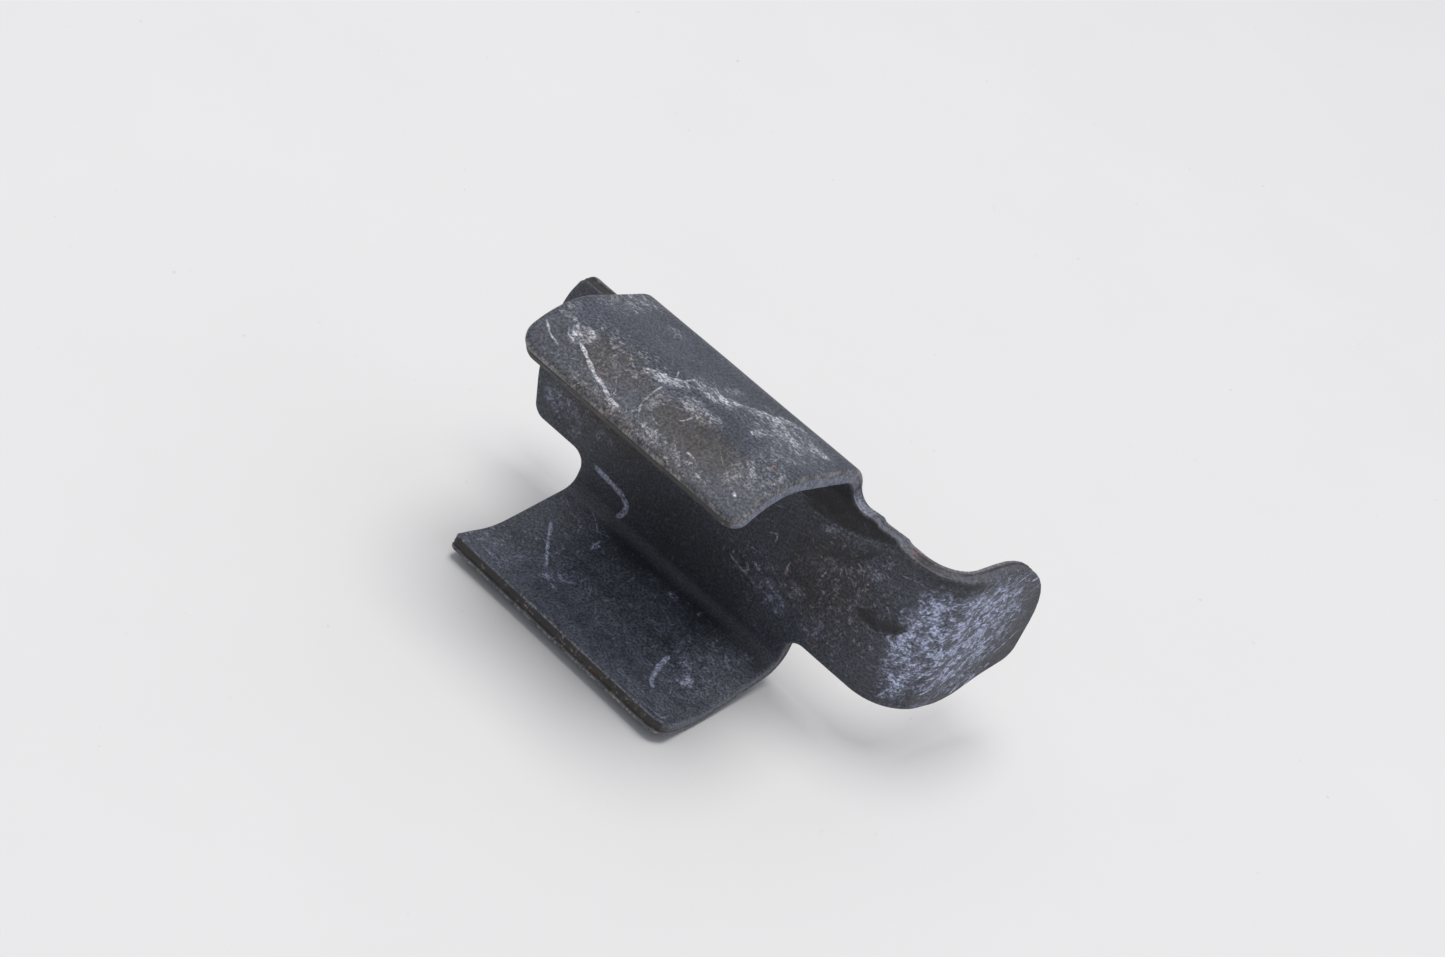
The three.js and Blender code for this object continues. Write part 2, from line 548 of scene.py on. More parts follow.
def strokeSpots(strokes):
    # a stroke is (half width, strength, points); every stretch of it becomes one long thin spot
    spots = []
    for width, strength, points in strokes:
        for (x0, z0), (x1, z1) in zip(points, points[1:]):
            length = math.hypot(x1 - x0, z1 - z0)
            turn = math.degrees(math.atan2(z1 - z0, x1 - x0))
            spots.append(((x0 + x1) / 2, (z0 + z1) / 2, length * stretchShare + width, width, turn, strength))
    return spots


scratchShape = {"length": (0.5, 2.2), "bow": 0.25, "halfWidth": (0.03, 0.055), "strength": (0.25, 0.6)}
dabShape = {"halfLength": (0.3, 0.9), "halfWidth": (0.06, 0.14), "stray": 28, "strength": (0.6, 1.3)}


def looseScratches(seed, count, box):
    # fine random scratches within (x0, x1, z0, z1), each of two straight parts
    draw = random.Random(seed)
    bend = scratchShape["bow"]
    strokes = []
    for i in range(count):
        x, z = draw.uniform(box[0], box[1]), draw.uniform(box[2], box[3])
        turn, length = draw.uniform(0, math.pi), draw.uniform(*scratchShape["length"])
        bow = draw.uniform(-bend, bend)
        points = [(x, z)]
        for part in range(2):
            x += math.cos(turn) * length / 2
            z += math.sin(turn) * length / 2
            turn += bow
            points.append((x, z))
        width, strength = draw.uniform(*scratchShape["halfWidth"]), draw.uniform(*scratchShape["strength"])
        strokes.append((width, strength, points))
    return strokes


def looseDabs(seed, count, box, turn):
    # short random rubs within (x0, x1, z0, z1), most of them along one direction
    draw = random.Random(seed)
    stray = dabShape["stray"]
    spots = []
    for i in range(count):
        x, z = draw.uniform(box[0], box[1]), draw.uniform(box[2], box[3])
        long, short = draw.uniform(*dabShape["halfLength"]), draw.uniform(*dabShape["halfWidth"])
        aimed = turn + draw.uniform(-stray, stray)
        spots.append((x, z, long, short, aimed, draw.uniform(*dabShape["strength"])))
    return spots


def newMaterial(name):
    material = bpy.data.materials.new(name)
    material.use_nodes = True
    tree = material.node_tree
    return material, tree, tree.nodes["Principled BSDF"]


def fromMesh(tree, layer):
    return addNode(tree, "Attribute", attribute_name=layer).outputs["Fac"]


def solidColour(colour):
    return (*colour, 1)


# noise as (scale, detail, roughness, distortion), scales per mm of sheet
skinGrains = {
    "cloud": (0.24, 6, 0.6, 0.4),
    "mottle": (1.3, 6, 0.68),
    "speck": (6.2, 3, 0.7),
    "worms": (3.2, 5, 0.78, 0.6),
    "wisp": (1.7, 7, 0.74, 0.5),
    "worn": (0.9, 5, 0.6),
}

# how each noise or mask is used: (from low, from high, to low, to high)
skinRanges = {
    "cloud": (0.3, 0.7),
    "wisp": (0.42, 0.62),
    "brown": (0.34, 0.58, 0.3, 1.0),
    "pale": (0.36, 0.6, 0.5, 1.05),
    "dark": (0.3, 0.5, 0.6, 1.0),
    "smearWisp": (0, 1, 0.2, 1.05),
    "smearWorms": (0.42, 0.6, 0.22, 1.2),
    "strokeWorms": (0.36, 0.56, 0.3, 1.05),
    "scratch": (0.4, 0.6, 0.1, 1.0),
    "dust": (0.49, 0.66),
    "haze": (0.38, 0.58, 0.3, 1.0),
    "chalkInDark": (0, 1, 1.0, 0.12),
    "worn": (0.38, 0.62, 0.15, 1.0),
    "wornReach": (0.24, 0.04),
    "rust": (0.35, 0.6, 0.3, 1.0),
    "speck": (0.37, 0.63),
    "roughness": (0.3, 0.7),
}

# the other strengths and sizes that both skins share
skinShares = {
    "smearCore": 0.3,
    "rustCore": 0.2,
    "grainDust": 0.16,
    "hazeHigh": 1.25,
    "roughSpan": 0.16,
    "chalkRough": 0.3,
    "wornSmooth": 0.12,
    "speckHeight": 0.7,
    "mottleHeight": 1.6,
}


def skinNoise(tree, places, finish):
    sheet, loose, close = places
    noises = {}
    noises["cloud"] = grain(tree, sheet, *skinGrains["cloud"]).outputs[0]
    noises["mottle"] = grain(tree, close, *skinGrains["mottle"]).outputs[0]
    noises["speck"] = grain(tree, sheet, *skinGrains["speck"]).outputs[0]
    noises["worms"] = grain(tree, sheet, *skinGrains["worms"]).outputs[0]
    brushed = stretched(tree, loose, finish["brushTurn"], finish["brushLong"])
    strands = grain(tree, brushed, *skinGrains["wisp"]).outputs[0]
    noises["wisp"] = spread(tree, strands, *skinRanges["wisp"])
    return noises


def brokenArea(tree, layer, texture, span):
    # an area kept on the vertices, broken up by a noise
    area = fromMesh(tree, layer)
    return calc(tree, "MULTIPLY", area, spread(tree, texture, *span))


def phosphateCoat(tree, noises, finish):
    # the coat itself, darker and lighter by turns and browner in places; its pale areas are partly painted
    # light and its dark areas partly painted shade
    mottle = noises["mottle"]
    clouds = spread(tree, noises["cloud"], *skinRanges["cloud"])
    coat = mixColour(tree, clouds, solidColour(finish["dark"]), solidColour(finish["light"]))
    brown = brokenArea(tree, "brownAreas", mottle, skinRanges["brown"])
    coat = mixColour(tree, brown, coat, solidColour(finish["brown"]))
    pale = brokenArea(tree, "paleAndLitAreas", mottle, skinRanges["pale"])
    coat = mixColour(tree, pale, coat, solidColour(finish["pale"]))
    shade = brokenArea(tree, "darkAndShadedAreas", mottle, skinRanges["dark"])
    coat = mixColour(tree, shade, coat, solidColour(finish["deep"]))
    return coat, brown, shade


def dustyHaze(tree, noises, finish):
    # a thin chalky haze over everything, thicker in the grainy areas
    grainy = fromMesh(tree, "grainAreas")
    thicker = calc(tree, "MULTIPLY", grainy, skinShares["grainDust"])
    dust = spread(tree, calc(tree, "ADD", noises["worms"], thicker), *skinRanges["dust"])
    haze = calc(tree, "MULTIPLY", calc(tree, "ADD", grainy, finish["haze"]), dust)
    haze = calc(tree, "MULTIPLY", haze, spread(tree, noises["mottle"], *skinRanges["haze"]))
    streaks = spread(tree, noises["wisp"], 0, 1, finish["streakLow"], skinShares["hazeHigh"])
    return calc(tree, "MULTIPLY", haze, streaks)


def chalkCover(tree, places, noises, shade, finish):
    # chalky smears, strokes and scratches over the haze, all of it weaker in the dark areas, which are partly
    # painted shade
    sheet, loose, close = places
    smear = marks(tree, loose, finish["smears"], skinShares["smearCore"])
    smear = calc(tree, "MULTIPLY", smear, spread(tree, noises["wisp"], *skinRanges["smearWisp"]))
    smear = calc(tree, "MULTIPLY", smear, spread(tree, noises["worms"], *skinRanges["smearWorms"]))
    stroke = marks(tree, close, strokeSpots(finish["strokes"]) + finish["dabs"])
    broken = spread(tree, noises["worms"], *skinRanges["strokeWorms"])
    stroke = calc(tree, "MULTIPLY", stroke, broken)
    fine = marks(tree, sheet, strokeSpots(finish["scratches"]))
    fine = calc(tree, "MULTIPLY", fine, spread(tree, noises["mottle"], *skinRanges["scratch"]))
    haze = dustyHaze(tree, noises, finish)
    broad = calc(tree, "MAXIMUM", smear, stroke)
    chalk = calc(tree, "MAXIMUM", broad, calc(tree, "MAXIMUM", fine, haze), clamp=True)
    return calc(tree, "MULTIPLY", chalk, spread(tree, shade, *skinRanges["chalkInDark"]))


def wornEdges(tree, sheet, finish):
    # bright worn metal where the sheet turns over at its edge
    patchy = spread(tree, grain(tree, sheet, *skinGrains["worn"]).outputs[0], *skinRanges["worn"])
    nearEdge = spread(tree, fromMesh(tree, "fromEdge"), *skinRanges["wornReach"])
    worn = calc(tree, "MULTIPLY", nearEdge, patchy)
    return calc(tree, "MULTIPLY", worn, finish["edgeWear"])


def crystalPoints(tree, colour, speck, finish):
    # crystals of the coat make light and dark points
    low, high = finish["speckLow"], finish["speckHigh"]
    spots = spread(tree, speck, *skinRanges["speck"])
    points = mixColour(tree, spots, (low, low, low, 1), (high, high, high, 1))
    tinted = addNode(tree, "Mix", data_type="RGBA", blend_type="MULTIPLY")
    tinted.inputs[0].default_value = 1.0
    feed(tree, tinted.inputs[6], colour)
    feed(tree, tinted.inputs[7], points)
    return tinted.outputs[2]


def skinRoughness(tree, mottle, chalk, worn, finish):
    gloss = finish["gloss"]
    dull = spread(tree, mottle, *skinRanges["roughness"], gloss, gloss + skinShares["roughSpan"])
    dull = calc(tree, "ADD", dull, calc(tree, "MULTIPLY", chalk, skinShares["chalkRough"]))
    smoother = calc(tree, "MULTIPLY", worn, skinShares["wornSmooth"])
    return calc(tree, "SUBTRACT", dull, smoother, clamp=True)


def steelSkin(name, finish):
    # every step makes its nodes before the ones that use them, for the reason given in marks
    material, tree, shader = newMaterial(name)
    sheet = sheetPlace(tree)
    loose = wander(tree, sheet, *wanders["loose"])
    close = wander(tree, sheet, *wanders["close"])
    places = (sheet, loose, close)
    noises = skinNoise(tree, places, finish)
    coat, brown, shade = phosphateCoat(tree, noises, finish)
    chalk = chalkCover(tree, places, noises, shade, finish)
    dusty = mixColour(tree, brown, solidColour(finish["chalk"]), solidColour(finish["warmChalk"]))
    colour = mixColour(tree, chalk, coat, dusty)
    worn = wornEdges(tree, sheet, finish)
    colour = mixColour(tree, worn, colour, solidColour(finish["worn"]))
    rust = marks(tree, close, finish["rust"], skinShares["rustCore"])
    rust = calc(tree, "MULTIPLY", rust, spread(tree, noises["speck"], *skinRanges["rust"]))
    colour = mixColour(tree, rust, colour, solidColour(finish["rustColour"]))
    feed(tree, shader.inputs["Base Color"], crystalPoints(tree, colour, noises["speck"], finish))
    dull = skinRoughness(tree, noises["mottle"], chalk, worn, finish)
    feed(tree, shader.inputs["Roughness"], dull)
    shader.inputs["Metallic"].default_value = 0.0
    shader.inputs["IOR"].default_value = 1.5

    crystals = calc(tree, "MULTIPLY", noises["speck"], skinShares["speckHeight"])
    swells = calc(tree, "MULTIPLY", noises["mottle"], skinShares["mottleHeight"])
    height = calc(tree, "ADD", crystals, swells)
    bump = addNode(tree, "Bump")
    bump.inputs["Strength"].default_value = 1.0
    bump.inputs["Distance"].default_value = finish["bump"] * mm
    feed(tree, bump.inputs["Height"], height)
    feed(tree, shader.inputs["Normal"], bump.outputs[0])
    return material


# in a finish, areas, smears and rust are (x, z, half length, half width, turn in degrees, strength)
# and strokes are (half width, strength, points), all in mm on the flat sheet

# the back skin, which is the roof's top and the rear of the web and tab
backFinish = {
    "dark": (0.034, 0.040, 0.054),
    "light": (0.060, 0.067, 0.089),
    "brown": (0.036, 0.032, 0.032),
    "pale": (0.085, 0.090, 0.105),
    "deep": (0.020, 0.020, 0.024),
    "chalk": (0.50, 0.51, 0.57),
    "warmChalk": (0.52, 0.48, 0.46),
    "rustColour": (0.30, 0.11, 0.035),
    "worn": (0.26, 0.25, 0.245),
    "brushTurn": 28,
    "brushLong": 2.2,
    "streakLow": 0.3,
    "haze": 0.12,
    "grainAreas": [
        (-3, 16.0, 6.0, 2.6, 0, 0.26),
        (4.9, 11.2, 3.6, 3.6, 0, 0.5),
        (-7.6, 10.5, 1.8, 4.8, 0, 0.42),
        (6.6, 16.0, 2.0, 3.0, 0, 0.36),
        (1.0, 13.2, 2.6, 1.7, 0, 0.5),
        (0, 18.4, 8.6, 1.0, 0, 0.4),
        (0, -7.5, 9.0, 1.8, 0, 0.4),
        (16.5, 0, 4.0, 5.0, 0, 0.4),
        (-6, 0, 6.0, 4.0, 0, 0.2),
    ],
    "edgeWear": 0.55,
    "gloss": 0.44,
    "speckLow": 0.42,
    "speckHigh": 1.65,
    "bump": 0.012,
    "brownAreas": [
        (2.9, 16.9, 4.6, 1.9, 0, 1.0),
        (-3.6, 16.6, 3.0, 1.8, 0, 0.8),
        (0, 19.0, 8.6, 0.8, 0, 0.8),
    ],
    "paleAndLitAreas": [
        (-7.6, 10.5, 1.8, 4.6, 0, 0.3),
        (0, -14, 9.5, 5, 0, 0.3),
    ],
    "darkAndShadedAreas": [
        (2.9, 16.3, 0.7, 0.5, 0, 0.5),
        (-1.5, 16.6, 0.9, 0.8, 0, 0.4),
        (-6.9, 17.2, 0.5, 0.4, 0, 0.5),
    ],
    "smears": [
        (-6.0, 16.7, 1.0, 0.85, -30, 1.2),
        (-7.3, 16.35, 0.8, 0.3, 0, 0.9),
        (-7.8, 15.5, 0.5, 0.5, 0, 0.5),
        (-1.4, 15.4, 1.3, 0.5, -20, 1.1),
        (-0.3, 14.8, 0.7, 0.6, -40, 0.6),
        (0.7, 13.4, 1.2, 1.0, 0, 1.05),
        (-0.3, 12.8, 0.7, 0.5, 20, 0.5),
        (-0.2, 16.6, 0.5, 1.3, 0, 0.5),
        (1.7, 15.4, 1.6, 0.9, 0, 0.6),
        (1.6, 12.9, 0.6, 1.5, 18, 1.15),
        (3.1, 10.6, 0.55, 2.2, 32, 1.1),
        (3.9, 9.3, 1.1, 0.4, -24, 1.1),
        (4.3, 13.2, 0.5, 1.2, -8, 0.65),
        (4.8, 10.9, 2.4, 2.2, 0, 0.7),
        (6.5, 10.0, 0.7, 0.8, 40, 1.15),
        (5.8, 17.3, 0.5, 0.9, 20, 0.55),
        (6.6, 16.5, 0.5, 0.5, 0, 0.55),
        (7.5, 15.6, 0.3, 1.1, 0, 0.5),
        (-4.6, 9.9, 0.9, 0.6, 0, 0.4),
        (-7.4, 11.9, 0.6, 0.7, 0, 0.35),
        (-7.7, 9.3, 0.7, 1.2, -40, 0.45),
        (6.2, 13.4, 1.3, 1.6, 0, 0.3),
        (0, 18.65, 8.0, 0.28, 0, 0.42),
        (0.8, 11.3, 0.5, 1.5, 10, 0.35),
        (-3.2, 2.0, 3.4, 1.2, 20, 0.5),
        (4.5, -1.6, 3.0, 0.8, -30, 0.55),
        (-10.8, 0.6, 1.6, 1.8, 40, 0.5),
        (11.5, 1.4, 2.0, 1.0, 15, 0.5),
        (15.6, 0.2, 0.9, 4.2, 0, 0.8),
        (20.5, 1.2, 2.2, 1.0, -25, 0.55),
        (19.0, -2.6, 2.6, 0.9, 20, 0.5),
        (-2.0, -7.6, 6.5, 0.9, 0, 0.75),
        (5.8, -8.2, 2.6, 0.7, 0, 0.8),
        (3.0, -12.5, 3.2, 1.1, 24, 0.5),
        (-5.2, -14.8, 1.9, 1.2, -30, 0.5),
        (0, -17.3, 8.3, 0.5, 0, 0.5),
    ],
    "strokes": [
        (0.14, 1.0, [(-5.6, 17.1), (-4.6, 17.5), (-3.6, 17.9), (-2.7, 18.1), (-2.0, 18.35), (-1.2, 18.4)]),
        (0.09, 0.7, [(-7.9, 17.4), (-7.1, 17.8), (-6.4, 18.0)]),
        (0.10, 0.8, [(-2.3, 15.7), (-1.8, 15.3), (-1.0, 15.0), (-0.5, 14.4), (-0.4, 13.4)]),
        (0.08, 0.7, [(-1.6, 15.6), (-0.8, 15.1), (-0.1, 14.8)]),
        (0.06, 0.6, [(-1.3, 14.0), (-0.9, 14.6), (0.2, 14.2), (0.6, 13.1)]),
        (0.08, 0.5, [(-0.8, 15.8), (-0.7, 16.6), (-0.6, 17.4), (-0.3, 17.9)]),
        (0.06, 0.55, [(1.5, 16.8), (1.75, 16.5), (1.8, 16.0)]),
        (0.09, 0.6, [(1.3, 13.8), (1.7, 12.4), (2.4, 11.2), (3.2, 10.2), (4.2, 9.2)]),
        (0.07, 0.5, [(4.2, 14.0), (4.4, 13.2), (4.7, 12.4)]),
        (0.08, 0.9, [(4.45, 18.4), (4.9, 18.45)]),
        (0.08, 0.7, [(3.2, 17.8), (3.9, 17.85)]),
        (0.10, 0.9, [(6.7, 17.85), (6.85, 17.9)]),
        (0.10, 0.8, [(4.1, 13.85), (4.3, 14.05)]),
        (0.07, 0.8, [(-2.0, -1.0), (0.6, 0.9), (2.2, 2.6)]),
        (0.06, 0.7, [(-6.5, 3.4), (-4.2, 0.8), (-3.6, -1.8)]),
        (0.08, 0.8, [(17.6, 2.4), (19.8, 0.6), (22.4, -1.4)]),
    ],
    "dabs": [],
    "scratches": looseScratches(4, 12, (-8, 7, 9, 18.5)) + looseScratches(9, 16, (-13, 22, -4, 4))
    + looseScratches(5, 10, (-8, 7, -17, -8)),
    "rust": [
        (6.8, 15.1, 0.2, 0.14, 0, 0.9),
        (-3.65, 17.55, 0.12, 0.1, 0, 0.9),
        (-3.0, 17.9, 0.12, 0.1, 0, 0.9),
        (-6.9, 13.5, 0.2, 0.1, 0, 0.4),
        (1.5, -2.2, 0.25, 0.15, 30, 0.6),
        (-5.4, -11.0, 0.3, 0.2, 0, 0.6),
    ],
}

# the front skin: inside of the web and of the lower jaw, underside of the roof, and the tab's outer face; its
# coat is darker than the back skin's, partly from wear and partly as painted shade inside the clip
frontFinish = {
    "dark": (0.026, 0.030, 0.039),
    "light": (0.046, 0.052, 0.068),
    "brown": (0.027, 0.023, 0.025),
    # the lit colour painted on the inside of the lower jaw
    "pale": (0.150, 0.166, 0.200),
    # the colour of the dark areas, most of them painted shade
    "deep": (0.009, 0.009, 0.012),
    "chalk": (0.42, 0.46, 0.62),
    "warmChalk": (0.34, 0.31, 0.33),
    "rustColour": (0.30, 0.11, 0.035),
    "worn": (0.15, 0.16, 0.19),
    "brushTurn": 38,
    "brushLong": 1.15,
    "streakLow": 0.12,
    "haze": 0.14,
    "grainAreas": [
        # dense dust on the tab, partly standing in as painted light on its bend and outer face
        (18.6, 0.3, 5.6, 6.4, 0, 1.25),
        (15.2, 0, 2.2, 6.0, 0, 1.2),
        (10.8, 0.6, 4.6, 6.0, 0, 0.3),
        (-11.0, -2.5, 3.4, 3.4, 0, 0.16),
        (5.0, -3.2, 4.4, 2.2, 0, 0.24),
        (0, -13.4, 11.5, 6.4, 0, 0.18),
        (5.8, -12.0, 3.2, 4.6, 0, 0.3),
        (-4.4, -13.6, 3.4, 3.6, 0, 0.3),
        (-7.4, -16.2, 3.2, 3.4, 0, 0.4),
    ],
    "edgeWear": 0.32,
    "gloss": 0.46,
    "speckLow": 0.46,
    "speckHigh": 1.6,
    "bump": 0.012,
    "brownAreas": [
        (-8, 0, 7.5, 5.2, 0, 0.95),
        (9, 0, 5.5, 5.0, 0, 0.9),
        (0, -4.5, 9, 3, 0, 0.6),
        (0, -17.9, 8.6, 0.5, 0, 0.5),
    ],
    # painted light: the inside of the lower jaw is made paler towards its front and sides, where the light
    # falls
    "paleAndLitAreas": [
        (0, -15.8, 13.0, 5.4, 0, 1.0),
        (-6.8, -11.0, 3.8, 4.6, 0, 0.35),
        (6.8, -12.2, 4.4, 4.4, 0, 0.5),
        (0, -11.8, 9.0, 3.4, 0, 0.42),
    ],
    "darkAndShadedAreas": [
        # painted shade along the lower bend and on the web below the roof
        (0, -7.6, 10.5, 2.1, 0, 0.5),
        (0, -4.0, 7.0, 3.5, 0, 0.35),
        (22.4, -1.0, 3.6, 6.5, 0, 0.3),
        # painted shade on the shallow dent by the roof's right foot
        (9.2, 4.7, 3.6, 1.0, 12, 0.7),
        (9.8, 2.3, 1.3, 0.5, 42, 0.5),
        (15.6, 4.5, 3.2, 0.9, 0, 0.75),
        (12.0, -1.0, 0.9, 4.5, 0, 0.2),
    ],
    "smears": [
        (-11.4, -3.0, 2.0, 1.2, 0, 0.4),
        (-9.7, -3.8, 0.5, 0.9, 0, 0.42),
        (-7.8, -3.0, 1.0, 0.6, 0, 0.24),
        (3.6, -3.5, 0.9, 0.32, -8, 0.42),
        (5.6, -3.4, 1.1, 0.8, 0, 0.42),
        (6.8, -3.8, 1.1, 0.8, 0, 0.42),
        (7.4, -2.3, 1.0, 0.8, 0, 0.4),
        (9.4, -3.3, 1.2, 1.1, 0, 0.3),
        (8.3, 2.9, 1.5, 0.5, 20, 0.4),
        (8.6, 0.7, 1.6, 1.3, 0, 0.26),
        (11.6, 2.4, 1.5, 0.9, 20, 0.3),
        (11.3, -0.1, 0.4, 0.3, 0, 0.36),
        # a bright band down the tab's bend: chalk, and painted light where the bend turns towards the light
        (15.1, -0.6, 1.1, 4.6, 0, 1.0),
        (15.3, 3.0, 1.1, 0.9, 10, 1.2),
        (15.6, -2.2, 0.8, 0.9, 0, 0.7),
        (17.0, 3.2, 1.7, 0.5, 22, 1.2),
        (16.7, 1.6, 1.7, 0.6, 20, 0.9),
        (16.6, -0.6, 1.4, 0.6, 24, 0.85),
        (18.7, 0.1, 0.8, 0.45, 44, 1.5),
        (19.7, 1.4, 0.9, 0.28, 18, 1.4),
        (21.5, 1.4, 0.5, 0.32, 40, 1.3),
        (20.1, -2.1, 0.85, 0.46, 36, 1.1),
        (20.8, -3.8, 1.1, 0.4, -25, 1.0),
        (20.2, -4.5, 0.5, 0.22, 50, 0.75),
        (17.8, -3.2, 1.1, 0.5, 30, 0.9),
        (17.4, -4.9, 1.2, 0.3, -10, 0.6),
        (18.6, -1.6, 1.5, 0.5, 30, 0.7),
        (22.6, 0.4, 1.0, 1.6, 0, 0.2),
        (20.6, 3.1, 0.8, 0.3, 20, 0.45),
        (-3.9, -14.4, 0.5, 0.6, -40, 1.6),
        (-3.1, -14.8, 0.5, 0.34, -50, 1.0),
        (-4.2, -10.1, 0.3, 0.55, 15, 1.4),
        (-6.6, -12.7, 0.4, 0.4, 0, 0.35),
        (-6.0, -14.9, 0.45, 0.6, 30, 0.42),
        (1.3, -9.1, 0.55, 0.38, 0, 1.2),
        (3.15, -8.6, 0.28, 0.34, 0, 0.6),
        (5.3, -12.0, 0.8, 0.6, -40, 0.7),
        (6.2, -13.1, 0.7, 0.65, 0, 1.6),
        (5.8, -10.3, 0.35, 0.7, -10, 0.6),
        (7.0, -9.1, 0.5, 0.9, -30, 0.32),
        (4.3, -11.6, 0.7, 0.6, 0, 0.25),
        (2.4, -11.4, 1.6, 0.9, 0, 0.2),
        (2.5, -16.4, 0.35, 0.25, 0, 0.45),
        (2.3, -14.0, 0.18, 0.22, 0, 0.5),
        (-0.5, -12.2, 0.2, 0.16, 0, 0.4),
        (0.9, -11.5, 0.3, 0.3, 0, 0.3),
        (-2.9, -11.2, 0.5, 0.4, 0, 0.3),
        (-6.9, -15.8, 1.6, 1.3, -20, 0.22),
        (7.6, -17.4, 0.6, 0.3, 30, 0.5),
        (2.5, 12.0, 3.0, 1.2, 25, 0.3),
        (-4.5, 15.6, 2.4, 0.9, -20, 0.3),
    ],
    "dabs": looseDabs(7, 36, (15.8, 23.4, -4.8, 4.0), 38),
    "strokes": [
        (0.26, 0.65, [(-7.5, -5.05), (-6.0, -5.2), (-5.1, -5.35), (-4.6, -5.7), (-4.55, -6.2), (-4.8, -6.9)]),
        (0.16, 0.85, [(-7.0, -11.0), (-6.2, -12.0), (-5.5, -12.8), (-4.9, -13.5), (-4.6, -13.8)]),
        (0.15, 0.7, [(-3.9, -13.5), (-3.3, -13.8), (-2.8, -13.3)]),
        (0.24, 1.2, [(4.4, -12.7), (4.5, -13.3), (4.75, -14.1)]),
        (0.2, 1.1, [(4.75, -14.1), (5.0, -14.8), (5.3, -15.3), (5.6, -15.55)]),
        (0.07, 0.3, [(5.8, -12.0), (6.0, -12.6), (5.9, -13.1)]),
        (0.12, 0.5, [(6.45, -0.9), (6.5, -1.7)]),
        (0.09, 0.45, [(2.8, -3.3), (3.6, -3.5), (4.5, -3.6)]),
        (0.07, 0.35, [(4.5, -0.2), (5.0, 0.1), (5.1, -0.5)]),
        (0.09, 0.7, [(14.2, 0.4), (14.6, 0.9), (14.9, 1.5), (15.2, 2.2)]),
        (0.08, 0.6, [(14.5, -4.4), (14.9, -3.5)]),
        (0.09, 0.8, [(15.7, 3.1), (16.6, 3.5), (17.6, 4.0)]),
        (0.09, 0.8, [(17.4, 3.0), (18.6, 3.4)]),
        (0.08, 0.6, [(20.4, 0.0), (20.5, 0.5)]),
        (0.10, 0.55, [(22.4, 2.5), (22.9, 2.9)]),
        (0.06, 0.22, [(6.3, 3.0), (7.6, 3.15), (8.6, 3.4), (9.6, 3.65), (10.6, 4.1)]),
        (0.05, 0.22, [(11.4, -0.6), (12.2, -0.8), (13.0, -0.65), (13.7, -0.1)]),
        (0.07, 0.3, [(1.5, -17.62), (4.5, -17.6), (7.6, -17.5)]),
        (0.06, 0.2, [(-7.6, -16.75), (-3.0, -16.8), (2.0, -16.8), (7.2, -16.7)]),
    ],
    "scratches": looseScratches(21, 20, (-8, 7.5, -16, -8)) + looseScratches(12, 8, (2, 13, -4, 4))
    + looseScratches(31, 14, (16.5, 22.5, -3.5, 3.5)),
    "rust": [
        (13.1, 4.75, 0.3, 0.1, 0, 0.5),
        (6.6, -1.75, 0.14, 0.2, 0, 0.4),
        (10.0, -4.4, 0.4, 0.2, 0, 0.25),
    ],
}


wallGrains = {"speck": (6.0, 4, 0.65), "mottle": (1.6, 5, 0.65)}

# used in the same way as skinRanges
wallRanges = {
    "coat": (0.35, 0.65),
    "chalk": (0.34, 0.64, 0.3, 1.0),
    "fleckPatch": (0.52, 0.68),
    "fleckPoint": (0.5, 0.62),
    "tearReach": (0.17, 0.05),
    "tearPatch": (0.35, 0.6, 1.0, 0.35),
    "backRub": (0.12, 0.0),
    "backPatch": (0.3, 0.6, 0.3, 1.0),
    "frontRub": (0.9, 1.0),
    "frontPatch": (0.4, 0.65),
    "rust": (0.4, 0.6),
    "roughness": (0.3, 0.7, 0.42, 0.72),
}

wallShares = {"chalkCore": 0.5, "rustCore": 0.2, "tearStrength": 0.8, "speckHeight": 0.8, "mottleHeight": 2.0}


def tearMark(tree, across, mottle, chalkAndLight):
    # the dark line where cutting turned to tearing, painted as shade in that step and hidden by the chalk and
    # painted light
    line = calc(tree, "ABSOLUTE", calc(tree, "SUBTRACT", across, edgeShape["tearLine"]))
    near = spread(tree, line, *wallRanges["tearReach"])
    line = calc(tree, "MULTIPLY", near, spread(tree, mottle, *wallRanges["tearPatch"]))
    line = calc(tree, "MULTIPLY", line, calc(tree, "SUBTRACT", 1.0, chalkAndLight))
    return calc(tree, "MULTIPLY", line, wallShares["tearStrength"])


def rubbedCorners(tree, across, mottle, finish):
    # the two long corners of the wall, rubbed bright beside each skin
    back = spread(tree, across, *wallRanges["backRub"])
    back = calc(tree, "MULTIPLY", back, spread(tree, mottle, *wallRanges["backPatch"]))
    front = spread(tree, across, *wallRanges["frontRub"])
    front = calc(tree, "MULTIPLY", front, spread(tree, mottle, *wallRanges["frontPatch"]))
    return calc(tree, "MULTIPLY", calc(tree, "MAXIMUM", back, front), finish["edgeWear"])


